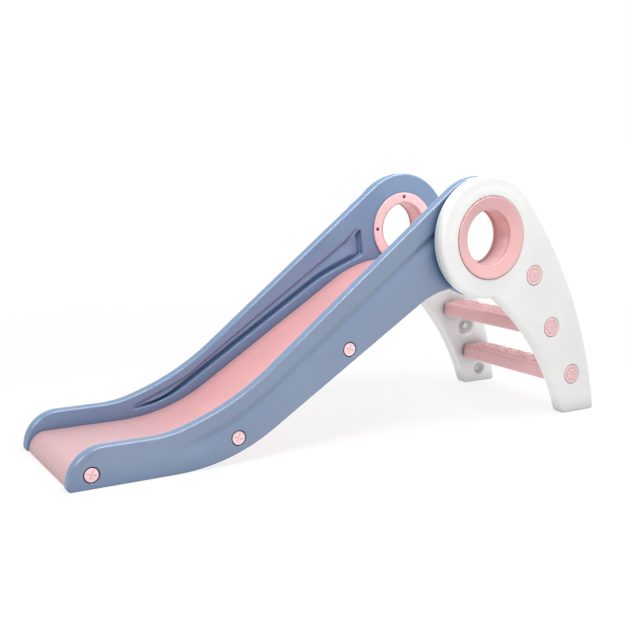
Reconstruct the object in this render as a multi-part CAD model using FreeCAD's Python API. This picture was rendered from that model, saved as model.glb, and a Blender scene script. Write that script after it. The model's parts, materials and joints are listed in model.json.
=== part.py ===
import FreeCAD, Part
import math
import os

# Folding toddler slide.  Millimetres, +Z up, +X from the toe towards the steps.
# The origin is on the floor, in the middle of the slide's length and width.
# The user's left, sitting at the top and facing the toe, is -Y.
# Both sides are mirror images: everything is drawn on the +Y side and mirrored.

Vector = FreeCAD.Vector

# Overall
HALF_LENGTH = 689.0
HUB_X = 329.0
HUB_Z = 461.0
GAP = 0.5                    # running clearance between the slide and the ladder

# Positions across the slide, measured outwards from its middle plane
PANEL_IN = 146.0
PANEL_OUT = 173.0
LEG_IN = 180.0
LEG_OUT = 215.0
RING_IN = 141.5
BED_HALF = PANEL_IN - 0.5

# Side panel
HEAD_R = 144.0
RAMP_ANGLE = 38.2            # rim, degrees above level
BELLY_ANGLE = 32.2           # lower edge and bed
RIM_Z = 86.5                 # rim at the toe
NOSE_R = 77.0
TOE_CORNER_R = 9.0
TOE_BEND_ANGLE = 18.0        # of the short run between the toe and the ramp
TOE_BEND_X = -472.0
TOE_BEND_R = 250.0
RAMP_BEND_R = 600.0
BELLY_X = -334.0             # where the belly line meets the floor
BELLY_R = 430.0
NECK_X = 194.5               # where the belly flattens before the head
NECK_ANGLE = 8.0
NECK_R = 200.0
NECK_FILLET_R = 16.0
PANEL_EDGE_R = 7.0
POCKET_DEPTH = 20.0
POCKET_CORNERS = (           # x, z and corner radius, from the tip along the lower edge
    (-472.0, 60.0, 5.0),
    (-354.0, 73.0, 300.0),
    (82.0, 347.0, 400.0),
    (205.0, 396.0, 8.0),
    (196.0, 480.0, 12.0),
    (150.0, 437.0, 120.0),
    (-309.0, 125.0, 300.0),
)

# Bed
BED_T = 30.0
BED_TOE_Z = 45.0
BED_SEAT_Z = 384.0
BED_BEND_X = -355.0          # where the ramp line meets the toe flat
BED_LOW_R = 400.0
BED_TOP_R = 280.0
BED_TOE_X = -683.0
BED_END_X = 401.0
TOE_LIP_T = 18.0
TOE_LIP_Z = 1.0
TOE_TOP_R = 38.0
SEAT_END_R = 16.0

# Legs
DISC_R = 145.0
LEG_BACK_R = 1120.0
LEG_FRONT_R = 612.0
FOOT_BACK_X = 691.05
FOOT_FRONT_X = 579.0
LEG_FRONT_TOP = (354.0, 312.0)
NOTCH_R = 10.0
FOOT_CORNER_R = 12.0
LEG_EDGE_R = 9.0

# Hub
BORE_R = 66.0
TUBE_R = 69.0
RING_R = 98.0
RING_SEAT = 10.0             # depth of the ring's seat in the leg
INNER_RING_R = 94.0
SCREW_CIRCLE_R = 83.0
SCREW_ANGLES = (0, 90, 180, 270)
SCREW_R = 1.7
SCREW_L = 15.0               # in the side panel
SCREW_HEAD_R = 4.2
SCREW_SINK = 2.2

# Steps: front edge x, bottom z
STEP_DEPTH = 89.0
STEP_T = 40.0
STEP_TOP_R = 10.0
STEP_UNDER_R = 6.0
STEP_DRAFT = 3.0             # how far the lower edges stand in
STEP_FRONT_X = {"middle_step": 492.0, "lower_step": 565.0}
STEP_BOTTOM_Z = {"middle_step": 208.0, "lower_step": 80.0}
TIE_BAR_R = 22.0

# Fastener places (x, z)
BED_BOLTS = ((-639.0, 30.0), (-316.0, 58.0), (-37.0, 222.5))
LEG_BOLTS = ((469.0, 363.0), (532.0, 229.0), (608.0, 101.0))
PANEL_CAP_R = 15.5
LEG_CAP_R = 24.0
CAP_T = 4.0
BOLT_R = 4.0
BOLT_HEAD_R = 8.0
BOLT_HEAD_T = 5.0
INSERT_R = 7.0
INSERT_L = 34.0

HUB = (HUB_X, HUB_Z)


# ---------------------------------------------------------------- outlines

def unit(a, b):
    """The unit vector from a to b, and their distance."""
    length = math.hypot(b[0] - a[0], b[1] - a[1])
    return (b[0] - a[0]) / length, (b[1] - a[1]) / length, length


def at(p):
    """A point of the side elevation, in the plane y = 0."""
    return Vector(p[0], 0, p[1])


def line(a, b):
    return Part.LineSegment(at(a), at(b)).toShape()


def arc(centre, start, end, sweep_sign):
    """The arc about centre from start to end; sweep_sign is +1 anticlockwise."""
    radius = math.hypot(start[0] - centre[0], start[1] - centre[1])
    a0 = math.atan2(start[1] - centre[1], start[0] - centre[0])
    a1 = math.atan2(end[1] - centre[1], end[0] - centre[0])
    sweep = (a1 - a0) * sweep_sign % (2 * math.pi)
    mid = a0 + sweep_sign * sweep / 2
    middle = (centre[0] + radius * math.cos(mid), centre[1] + radius * math.sin(mid))
    return Part.Arc(at(start), at(middle), at(end)).toShape()


def corner_arc(before, here, after):
    """The tangent arc at the corner here = (x, z, radius): its start, end and edge."""
    ux, uz, _ = unit(here, before)
    vx, vz, _ = unit(here, after)
    half = math.acos(ux * vx + uz * vz) / 2
    cut = here[2] / math.tan(half)
    start = (here[0] + ux * cut, here[1] + uz * cut)
    end = (here[0] + vx * cut, here[1] + vz * cut)
    bx, bz, _ = unit((0, 0), (ux + vx, uz + vz))
    reach = here[2] / math.sin(half)
    centre = (here[0] + bx * reach, here[1] + bz * reach)
    turn = 1 if ux * vz - uz * vx < 0 else -1
    return start, end, arc(centre, start, end, turn)


def joined(arcs, first, last):
    """The arcs of corner_arc, joined by lines, from the point first to last."""
    edges = []
    here = first
    for start, end, edge in arcs:
        if math.dist(start, here) > 1e-3:
            edges.append(line(here, start))
        edges.append(edge)
        here = end
    if math.dist(here, last) > 1e-3:
        edges.append(line(here, last))
    return edges


def rounded_path(corners):
    """An open path through (x, z, radius) corners; the two ends have no radius."""
    arcs = [corner_arc(*three) for three in zip(corners, corners[1:], corners[2:])]
    return joined(arcs, corners[0][:2], corners[-1][:2])


def closed_outline(corners):
    """A closed outline through (x, z, radius) corners."""
    before = corners[-1:] + corners[:-1]
    after = corners[1:] + corners[:1]
    arcs = [corner_arc(*three) for three in zip(before, corners, after)]
    return joined(arcs, arcs[-1][1], arcs[-1][1])


def circles_meet(c1, r1, c2, r2, side):
    """Where two circles cross; side +1 is left of the line from c1 to c2."""
    ux, uz, d = unit(c1, c2)
    along = (r1 * r1 - r2 * r2 + d * d) / (2 * d)
    off = side * math.sqrt(r1 * r1 - along * along)
    return c1[0] + along * ux - off * uz, c1[1] + along * uz + off * ux


def towards(a, b, length):
    """The point at a distance from a on the way to b."""
    ux, uz, _ = unit(a, b)
    return a[0] + ux * length, a[1] + uz * length


# ---------------------------------------------------------------- solids

def prism(edges, y0, y1):
    """A plate with the given side outline, from y0 to y1."""
    wire = Part.Wire(Part.__sortEdges__(edges))
    face = Part.Face(wire)
    face.translate(Vector(0, y0, 0))
    return face.extrude(Vector(0, y1 - y0, 0))


def cylinder(centre, radius, y0, y1):
    """A cylinder across the slide, from y0 to y1."""
    return Part.makeCylinder(radius, y1 - y0, Vector(centre[0], y0, centre[1]), Vector(0, 1, 0))


def turned(points, centre):
    """A ring turned about the axis through centre, from (radius, y) points."""
    corners = [Vector(centre[0] + r, y, centre[1]) for r, y in points]
    face = Part.Face(Part.makePolygon(corners + corners[:1]))
    return face.revolve(Vector(centre[0], 0, centre[1]), Vector(0, 1, 0), 360)


def round_plate_edges(solid, y_radii):
    """Rounds a plate's outer edges: y_radii is {y of the face: radius}."""
    for y, radius in y_radii.items():
        face = max(
            (f for f in solid.Faces if abs(f.BoundBox.YMin - y) < 1e-3 and f.BoundBox.YLength < 1e-3),
            key=lambda f: f.Area,
        )
        solid = solid.makeFillet(radius, face.OuterWire.Edges)
    return solid


def mirrored(shape):
    return shape.mirror(Vector(0, 0, 0), Vector(0, 1, 0))


# ---------------------------------------------------------------- side panel

def panel_outline():
    """The side panel: a flat toe, a straight ramp and a round head."""
    ramp = math.radians(RAMP_ANGLE)
    belly = math.radians(BELLY_ANGLE)
    rim_end = (HUB_X - HEAD_R * math.sin(ramp), HUB_Z + HEAD_R * math.cos(ramp))
    # the rim leaves the toe in two bends, with a short run in between
    run = math.tan(math.radians(TOE_BEND_ANGLE))
    climb = math.tan(ramp)
    ramp_x = (rim_end[1] - RIM_Z + TOE_BEND_X * run - rim_end[0] * climb) / (run - climb)
    ramp_z = RIM_Z + (ramp_x - TOE_BEND_X) * run
    # the belly leaves the floor at its own angle and flattens before the head
    neck_z = (NECK_X - BELLY_X) * math.tan(belly)
    neck = math.radians(NECK_ANGLE)
    # the fillet's centre is below the neck line and outside the head circle
    foot = (NECK_X + NECK_FILLET_R * math.sin(neck), neck_z - NECK_FILLET_R * math.cos(neck))
    along = (math.cos(neck), math.sin(neck))
    to_hub = (HUB_X - foot[0], HUB_Z - foot[1])
    middle = to_hub[0] * along[0] + to_hub[1] * along[1]
    off_axis = to_hub[1] * along[0] - to_hub[0] * along[1]
    step = middle - math.sqrt((HEAD_R + NECK_FILLET_R) ** 2 - off_axis**2)
    centre = (foot[0] + step * along[0], foot[1] + step * along[1])
    on_neck = (centre[0] - NECK_FILLET_R * along[1], centre[1] + NECK_FILLET_R * along[0])
    on_head = towards(HUB, centre, HEAD_R)
    edges = rounded_path([
        (*rim_end, 0),
        (ramp_x, ramp_z, RAMP_BEND_R),
        (TOE_BEND_X, RIM_Z, TOE_BEND_R),
        (-HALF_LENGTH, RIM_Z, NOSE_R),
        (-HALF_LENGTH, 0.0, TOE_CORNER_R),
        (BELLY_X, 0.0, BELLY_R),
        (NECK_X, neck_z, NECK_R),
        (*on_neck, 0),
    ])
    edges.append(arc(centre, on_neck, on_head, -1))
    edges.append(arc(HUB, on_head, rim_end, 1))
    return edges


def side_panel():
    panel = prism(panel_outline(), PANEL_IN, PANEL_OUT)
    panel = round_plate_edges(panel, {PANEL_OUT: PANEL_EDGE_R, PANEL_IN: PANEL_EDGE_R - 1})
    # the horn-shaped pocket in the inner face
    cuts = [prism(closed_outline(POCKET_CORNERS), PANEL_IN - 1, PANEL_IN + POCKET_DEPTH)]
    cuts.append(cylinder(HUB, TUBE_R + GAP, PANEL_IN - 1, PANEL_OUT + 1))
    for place in BED_BOLTS:
        cuts.append(cylinder(place, PANEL_CAP_R + 0.5, PANEL_OUT - CAP_T, PANEL_OUT + 1))
        cuts.append(cylinder(place, BOLT_HEAD_R + 0.5, PANEL_OUT - CAP_T - BOLT_HEAD_T - 1, PANEL_OUT))
        cuts.append(cylinder(place, BOLT_R + 0.3, PANEL_IN - 1, PANEL_OUT))
    for angle in SCREW_ANGLES:
        cuts.append(cylinder(on_screw_circle(angle), SCREW_R, PANEL_IN - 1, PANEL_IN + SCREW_L + 2))
    return panel.cut(cuts)


# ---------------------------------------------------------------- bed

def bed_outline():
    """The bed: a lip on the floor, the ramp, and a flat seat at the top."""
    belly = math.radians(BELLY_ANGLE)
    seat_x = BED_BEND_X + (BED_SEAT_Z - BED_TOE_Z) / math.tan(belly)
    under = BED_T * math.tan(belly / 2)
    lip_in = BED_TOE_X + TOE_LIP_T
    return closed_outline([
        (BED_TOE_X, TOE_LIP_Z, 2.0),
        (BED_TOE_X, BED_TOE_Z, TOE_TOP_R),
        (BED_BEND_X, BED_TOE_Z, BED_LOW_R),
        (seat_x, BED_SEAT_Z, BED_TOP_R),
        (BED_END_X, BED_SEAT_Z, SEAT_END_R),
        (BED_END_X, BED_SEAT_Z - BED_T, 9.0),
        (seat_x + under, BED_SEAT_Z - BED_T, BED_TOP_R - BED_T),
        (BED_BEND_X + under, BED_TOE_Z - BED_T, BED_LOW_R + BED_T),
        (lip_in, BED_TOE_Z - BED_T, 8.0),
        (lip_in, TOE_LIP_Z, 2.0),
    ])


def slide_bed():
    bed = prism(bed_outline(), -BED_HALF, BED_HALF)
    half_cuts = [cylinder(HUB, INNER_RING_R + 1.5, RING_IN - GAP, PANEL_IN)]
    for place in BED_BOLTS:
        half_cuts.append(cylinder(place, INSERT_R, BED_HALF - INSERT_L, BED_HALF + 1))
    half = Part.makeCompound(half_cuts)
    return bed.cut([half, mirrored(half)])


# ---------------------------------------------------------------- ladder

def leg_outline():
    """The leg: a round disc running down into a curved, widening foot."""
    foot_back = (FOOT_BACK_X, 0.0)
    foot_front = (FOOT_FRONT_X, 0.0)
    back_centre = circles_meet(HUB, LEG_BACK_R - DISC_R, foot_back, LEG_BACK_R, -1)
    back_top = towards(back_centre, HUB, LEG_BACK_R)
    front_centre = circles_meet(LEG_FRONT_TOP, LEG_FRONT_R, foot_front, LEG_FRONT_R, -1)
    notch = circles_meet(HUB, DISC_R + NOTCH_R, front_centre, LEG_FRONT_R - NOTCH_R, 1)
    notch_disc = towards(HUB, notch, DISC_R)
    notch_front = towards(front_centre, notch, LEG_FRONT_R)
    return [
        arc(HUB, back_top, notch_disc, 1),
        arc(notch, notch_disc, notch_front, -1),
        arc(front_centre, notch_front, foot_front, -1),
        line(foot_front, foot_back),
        arc(back_centre, foot_back, back_top, 1),
    ]


def leg_panel():
    leg = prism(leg_outline(), LEG_IN, LEG_OUT)
    leg = leg.makeFillet(FOOT_CORNER_R, [
        e for e in leg.Edges
        if e.BoundBox.ZMax < 1.0 and e.BoundBox.XLength < 1e-3
    ])
    leg = round_plate_edges(leg, {LEG_OUT: LEG_EDGE_R, LEG_IN: LEG_EDGE_R - 3})
    cuts = [cylinder(HUB, TUBE_R + GAP, LEG_IN - 1, LEG_OUT + 1)]
    cuts.append(cylinder(HUB, RING_R + GAP, LEG_OUT - RING_SEAT, LEG_OUT + 1))
    for place in LEG_BOLTS:
        cuts.append(cylinder(place, LEG_CAP_R + 0.5, LEG_OUT - CAP_T, LEG_OUT + 1))
        cuts.append(cylinder(place, BOLT_HEAD_R + 0.5, LEG_OUT - CAP_T - BOLT_HEAD_T - 1, LEG_OUT))
        cuts.append(cylinder(place, BOLT_R + 0.3, LEG_IN - 1, LEG_OUT))
    return leg.cut(cuts)


def step_board(name):
    """A tread with rounded edges; a bolt through each leg screws in its ends."""
    x0 = STEP_FRONT_X[name]
    x1 = x0 + STEP_DEPTH
    z0 = STEP_BOTTOM_Z[name]
    z1 = z0 + STEP_T
    board = prism(closed_outline([
        (x0 + STEP_DRAFT, z0, STEP_UNDER_R),
        (x0, z1, STEP_TOP_R),
        (x1, z1, STEP_TOP_R),
        (x1 - STEP_DRAFT, z0, STEP_UNDER_R),
    ]), -LEG_IN, LEG_IN)
    place = LEG_BOLTS[1] if name == "middle_step" else LEG_BOLTS[2]
    socket = cylinder(place, INSERT_R, LEG_IN - INSERT_L, LEG_IN + 1)
    return board.cut([socket, mirrored(socket)])


def tie_bar():
    """The round bar that ties the two legs together behind the seat."""
    bar = cylinder(LEG_BOLTS[0], TIE_BAR_R, -LEG_IN, LEG_IN)
    socket = cylinder(LEG_BOLTS[0], INSERT_R, LEG_IN - INSERT_L, LEG_IN + 1)
    return bar.cut([socket, mirrored(socket)])


# ---------------------------------------------------------------- hub and fasteners

def on_screw_circle(angle):
    turn = math.radians(angle)
    return HUB_X + SCREW_CIRCLE_R * math.cos(turn), HUB_Z + SCREW_CIRCLE_R * math.sin(turn)


def hub_outer_ring():
    """The dished flange on the leg and the tube that the leg turns on."""
    seat = LEG_OUT - RING_SEAT + GAP
    return turned([
        (BORE_R, RING_IN),
        (TUBE_R, RING_IN),
        (TUBE_R, seat),
        (RING_R, seat),
        (RING_R, LEG_OUT + 0.5),
        (RING_R - 1.5, LEG_OUT + 2.0),
        (RING_R - 4.5, LEG_OUT + 2.0),
        (BORE_R + 5, LEG_OUT - 6.0),
        (BORE_R + 1.5, LEG_OUT - 8.5),
        (BORE_R, LEG_OUT - 12.0),
    ], HUB)


def hub_inner_ring():
    """The clamp ring on the side panel's inner face, round the tube's end."""
    ring = turned([
        (TUBE_R + 0.2, RING_IN),
        (INNER_RING_R - 1.5, RING_IN),
        (INNER_RING_R, RING_IN + 1.5),
        (INNER_RING_R, PANEL_IN),
        (TUBE_R + 0.2, PANEL_IN),
    ], HUB)
    holes = []
    for angle in SCREW_ANGLES:
        holes.append(cylinder(on_screw_circle(angle), 2.3, RING_IN - 1, PANEL_IN + 1))
        sunk = cylinder(on_screw_circle(angle), SCREW_HEAD_R + 0.4, RING_IN - 1, RING_IN + SCREW_SINK)
        holes.append(sunk)
    return ring.cut(holes)


def hub_screws():
    """Four self-tapping screws that hold the inner ring to the side panel."""
    screws = []
    for angle in SCREW_ANGLES:
        place = on_screw_circle(angle)
        head = cylinder(place, SCREW_HEAD_R, RING_IN + 0.3, RING_IN + SCREW_SINK)
        shank = cylinder(place, SCREW_R, RING_IN + SCREW_SINK, PANEL_IN + SCREW_L)
        screws.append(head.fuse(shank).removeSplitter())
    return Part.makeCompound(screws)


def pivot_washer():
    """The low-friction washer between the side panel and the leg."""
    ring = cylinder(HUB, RING_R, PANEL_OUT, LEG_IN - GAP)
    return ring.cut(cylinder(HUB, TUBE_R + 0.2, PANEL_OUT - 1, LEG_IN + 1))


def bolts(places, outer, inner):
    """Flanged bolts from under the caps at outer into the inserts at inner."""
    group = []
    for place in places:
        head_y = outer - CAP_T - BOLT_HEAD_T
        head = cylinder(place, BOLT_HEAD_R, head_y - 1, outer - CAP_T - 1)
        shank = cylinder(place, BOLT_R, inner - INSERT_L + 6, head_y - 1)
        group.append(head.fuse(shank).removeSplitter())
    return group


def inserts(places, inner):
    """Threaded sleeves moulded into the ends of the bed, steps and tie bar."""
    group = []
    for place in places:
        sleeve = cylinder(place, INSERT_R, inner - INSERT_L, inner - 0.2)
        group.append(sleeve.cut(cylinder(place, BOLT_R, inner - INSERT_L + 5, inner)))
    return group


def caps(places, radius, outer):
    """Push-in covers over the bolt heads, each with a raised four-lobed flower."""
    group = []
    for place in places:
        cap = cylinder(place, radius, outer - CAP_T, outer)
        cap = cap.makeFillet(1.5, [e for e in cap.Edges if abs(e.BoundBox.YMin - outer) < 1e-3])
        petals = []
        for angle in (45, 135, 225, 315):
            turn = math.radians(angle)
            reach = radius * 0.3
            centre = (place[0] + reach * math.cos(turn), place[1] + reach * math.sin(turn))
            petals.append(cylinder(centre, radius * 0.3, outer - 1, outer + 0.8))
        group.append(cap.fuse(petals).removeSplitter())
    return Part.makeCompound(group)


def both_sides(group):
    return Part.makeCompound(group + [mirrored(shape) for shape in group])


def single_solid(shape):
    return shape.Solids[0] if len(shape.Solids) == 1 else shape


# ---------------------------------------------------------------- the object

def build():
    nodes = {
        "slide_bed": slide_bed(),
        "middle_step": step_board("middle_step"),
        "lower_step": step_board("lower_step"),
        "top_tie_bar": tie_bar(),
        "bed_bolts": both_sides(bolts(BED_BOLTS, PANEL_OUT, BED_HALF)),
        "bed_inserts": both_sides(inserts(BED_BOLTS, BED_HALF)),
        "step_bolts": both_sides(bolts(LEG_BOLTS, LEG_OUT, LEG_IN)),
        "step_inserts": both_sides(inserts(LEG_BOLTS, LEG_IN)),
    }
    sided = {
        "side_panel": side_panel(),
        "leg_panel": leg_panel(),
        "hub_outer_ring": hub_outer_ring(),
        "hub_inner_ring": hub_inner_ring(),
        "hub_screws": hub_screws(),
        "pivot_washer": pivot_washer(),
        "panel_caps": caps(BED_BOLTS, PANEL_CAP_R, PANEL_OUT),
        "leg_caps": caps(LEG_BOLTS, LEG_CAP_R, LEG_OUT),
    }
    for name, shape in sided.items():
        nodes[name + "_right"] = shape
        nodes[name + "_left"] = mirrored(shape)
    return nodes


os.makedirs("parts", exist_ok=True)
for node, shape in build().items():
    single_solid(shape).exportStep(f"parts/{node}.step")
    solids = shape.Solids
    print(node, len(solids), [round(s.Volume) for s in solids][:3], shape.isValid())
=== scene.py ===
"""Folding toddler slide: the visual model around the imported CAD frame.

Shapes are drawn in millimetres as (u, v, w) points: u and v lie in the plate, w is across it.
For side panels and legs u = X, v = Z and w = Y; for the steps u = X, v = Y and w = Z.
"""
import json
import math

import bmesh
import bpy
import numpy as np
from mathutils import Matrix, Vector, geometry, noise


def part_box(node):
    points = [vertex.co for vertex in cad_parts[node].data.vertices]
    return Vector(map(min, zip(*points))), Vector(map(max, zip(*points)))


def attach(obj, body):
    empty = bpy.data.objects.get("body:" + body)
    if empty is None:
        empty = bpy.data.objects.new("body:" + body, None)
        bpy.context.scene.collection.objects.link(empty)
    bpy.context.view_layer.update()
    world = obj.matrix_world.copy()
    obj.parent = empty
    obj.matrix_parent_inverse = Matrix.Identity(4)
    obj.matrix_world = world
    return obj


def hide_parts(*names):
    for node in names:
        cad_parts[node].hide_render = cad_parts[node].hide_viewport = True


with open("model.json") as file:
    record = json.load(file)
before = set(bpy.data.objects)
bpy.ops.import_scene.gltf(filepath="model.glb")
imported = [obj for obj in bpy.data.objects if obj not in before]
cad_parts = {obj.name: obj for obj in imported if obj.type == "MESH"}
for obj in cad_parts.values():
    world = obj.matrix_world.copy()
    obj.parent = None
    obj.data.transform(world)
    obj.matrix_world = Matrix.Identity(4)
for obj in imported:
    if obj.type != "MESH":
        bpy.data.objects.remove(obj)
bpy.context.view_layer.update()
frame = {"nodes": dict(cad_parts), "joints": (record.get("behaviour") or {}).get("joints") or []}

MM = 0.001
TAU = 2 * math.pi
# How many points are compared with a path at a time.
CHUNK = 4000


# ---------------------------------------------------------------- places read from the frame

def box_mm(node):
    """A CAD node's lowest and highest corners in millimetres."""
    low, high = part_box(node)
    return np.array(low) / MM, np.array(high) / MM


def solids_mm(node):
    """The boxes of a CAD node's separate solids in millimetres, by height and then by X."""
    mesh = bmesh.new()
    mesh.from_mesh(frame["nodes"][node].data)
    bmesh.ops.remove_doubles(mesh, verts=mesh.verts, dist=1e-6)
    left = set(mesh.verts)
    boxes = []
    while left:
        island = set()
        stack = [left.pop()]
        while stack:
            vert = stack.pop()
            island.add(vert)
            near = {e.other_vert(vert) for e in vert.link_edges} - island
            left -= near
            stack.extend(near)
        points = np.array([v.co for v in island]) / MM
        boxes.append((points.min(0), points.max(0)))
    mesh.free()
    return sorted(boxes, key=lambda b: (round(b[0][2], 2), round(b[0][0], 2)))


def centres(node):
    """The (x, z) centres of a node's solids."""
    return [((a[0] + b[0]) / 2, (a[2] + b[2]) / 2) for a, b in solids_mm(node)]


JOINT = frame["joints"][0]
HUB = (JOINT["pos_m"][0] / MM, JOINT["pos_m"][2] / MM)
PANEL_LOW, PANEL_HIGH = box_mm("side_panel_right")
LEG_LOW, LEG_HIGH = box_mm("leg_panel_right")
BED_LOW, BED_HIGH = box_mm("slide_bed")
RING_LOW, RING_HIGH = box_mm("hub_outer_ring_right")
PANEL_IN, PANEL_OUT = PANEL_LOW[1], PANEL_HIGH[1]
LEG_IN, LEG_OUT = LEG_LOW[1], LEG_HIGH[1]
TOE_X = PANEL_LOW[0]
HEAD_R = PANEL_HIGH[2] - HUB[1]
DISC_R = LEG_HIGH[2] - HUB[1]
RING_R = RING_HIGH[2] - HUB[1]
INNER_RING_R = box_mm("hub_inner_ring_right")[1][2] - HUB[1]
# The hub tube's outer and inner radius.
TUBE_R = 69.0
BORE_R = 66.0


# ---------------------------------------------------------------- outlines in a plane

def smooth(t):
    """0 below t = 0, 1 above t = 1, and an S-curve between."""
    t = np.clip(t, 0.0, 1.0)
    return t * t * (3 - 2 * t)


def corner_arc(corners, i):
    """The tangent arc at corner i of a path: its centre, first radius and signed turn."""
    u, v, radius = corners[i]
    here = np.array((u, v))
    before = np.array(corners[i - 1][:2]) - here
    after = np.array(corners[(i + 1) % len(corners)][:2]) - here
    before /= np.linalg.norm(before)
    after /= np.linalg.norm(after)
    half = math.acos(np.clip(before @ after, -1, 1)) / 2
    middle = (before + after) / np.linalg.norm(before + after)
    centre = here + middle * radius / math.sin(half)
    start = here + before * radius / math.tan(half) - centre
    sign = 1 if before[0] * after[1] - before[1] * after[0] < 0 else -1
    return centre, start, sign * (math.pi - 2 * half)


def turned(centre, start, turn, steps):
    """Points of an arc that starts at centre + start and turns through turn."""
    a = np.linspace(0, turn, steps + 1)
    c, s = np.cos(a), np.sin(a)
    return centre + np.stack((start[0] * c - start[1] * s, start[0] * s + start[1] * c), 1)


def rounded(corners, closed=True, turn_step=0.05):
    """Points along a path through (u, v, radius) corners, with arcs at the corners."""
    parts = []
    for i, (u, v, _) in enumerate(corners):
        if not closed and i in (0, len(corners) - 1):
            parts.append(np.array([(u, v)]))
            continue
        centre, start, turn = corner_arc(corners, i)
        parts.append(turned(centre, start, turn, max(2, math.ceil(abs(turn) / turn_step))))
    return np.vstack(parts)


def arc_points(centre, start, end, sign, turn_step=0.03):
    """Points of an arc about centre; sign is +1 anticlockwise."""
    a0 = math.atan2(start[1] - centre[1], start[0] - centre[0])
    a1 = math.atan2(end[1] - centre[1], end[0] - centre[0])
    sweep = (a1 - a0) * sign % TAU
    radius = math.dist(centre, start)
    angles = a0 + sign * np.linspace(0, sweep, max(3, math.ceil(sweep / turn_step)))
    return np.stack((centre[0] + radius * np.cos(angles), centre[1] + radius * np.sin(angles)), 1)


def resample(points, spacing, closed=True):
    """The same path with evenly spaced points."""
    path = np.vstack((points, points[:1])) if closed else np.asarray(points)
    seg = np.linalg.norm(np.diff(path, axis=0), axis=1)
    keep = np.concatenate(([True], seg > 1e-9))
    path = path[keep]
    along = np.concatenate(([0], np.cumsum(np.linalg.norm(np.diff(path, axis=0), axis=1))))
    count = max(8, round(along[-1] / spacing))
    at = np.linspace(0, along[-1], count + 1)
    if closed:
        at = at[:-1]
    return np.stack((np.interp(at, along, path[:, 0]), np.interp(at, along, path[:, 1])), 1)


def anticlockwise(points):
    """The same loop, turned round if it runs clockwise."""
    area = np.sum(points[:, 0] * np.roll(points[:, 1], -1) - np.roll(points[:, 0], -1) * points[:, 1])
    return points if area > 0 else points[::-1].copy()


def outward(points):
    """Outward unit normals of an anticlockwise loop."""
    tangent = np.roll(points, -1, axis=0) - np.roll(points, 1, axis=0)
    tangent /= np.linalg.norm(tangent, axis=1)[:, None]
    return np.stack((tangent[:, 1], -tangent[:, 0]), 1)


def circle(centre, radius, count=96):
    """Points evenly round a circle."""
    a = np.linspace(0, TAU, count, endpoint=False)
    return np.stack((centre[0] + radius * np.cos(a), centre[1] + radius * np.sin(a)), 1)


def inside(points, loop):
    """Which points are inside a closed loop."""
    result = np.zeros(len(points), bool)
    a, b = loop, np.roll(loop, -1, axis=0)
    for lo in range(0, len(points), CHUNK):
        p = points[lo:lo + CHUNK, None, :]
        crosses = (a[None, :, 1] > p[..., 1]) != (b[None, :, 1] > p[..., 1])
        rise = np.where(b[:, 1] == a[:, 1], 1e-12, b[:, 1] - a[:, 1])
        at = a[None, :, 0] + (p[..., 1] - a[None, :, 1]) * (b[:, 0] - a[:, 0])[None] / rise[None]
        result[lo:lo + CHUNK] = (np.sum(crosses & (p[..., 0] < at), axis=1) % 2) == 1
    return result


def distance_to(points, path):
    """Distance to a densely sampled path, and whether each point is on its right."""
    out = np.empty(len(points))
    right = np.empty(len(points), bool)
    tangent = np.gradient(path, axis=0)
    for lo in range(0, len(points), CHUNK):
        gap = points[lo:lo + CHUNK, None, :] - path[None]
        near = np.argmin((gap ** 2).sum(2), axis=1)
        best = gap[np.arange(len(near)), near]
        t = tangent[near]
        out[lo:lo + CHUNK] = np.linalg.norm(best, axis=1)
        right[lo:lo + CHUNK] = t[:, 0] * best[:, 1] - t[:, 1] * best[:, 0] < 0
    return out, right


# ---------------------------------------------------------------- shells

# A fill's rows and its clearance from the rims, as shares of its spacing.
ROW_STEP = 0.866
RIM_CLEARANCE = 0.55


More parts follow.
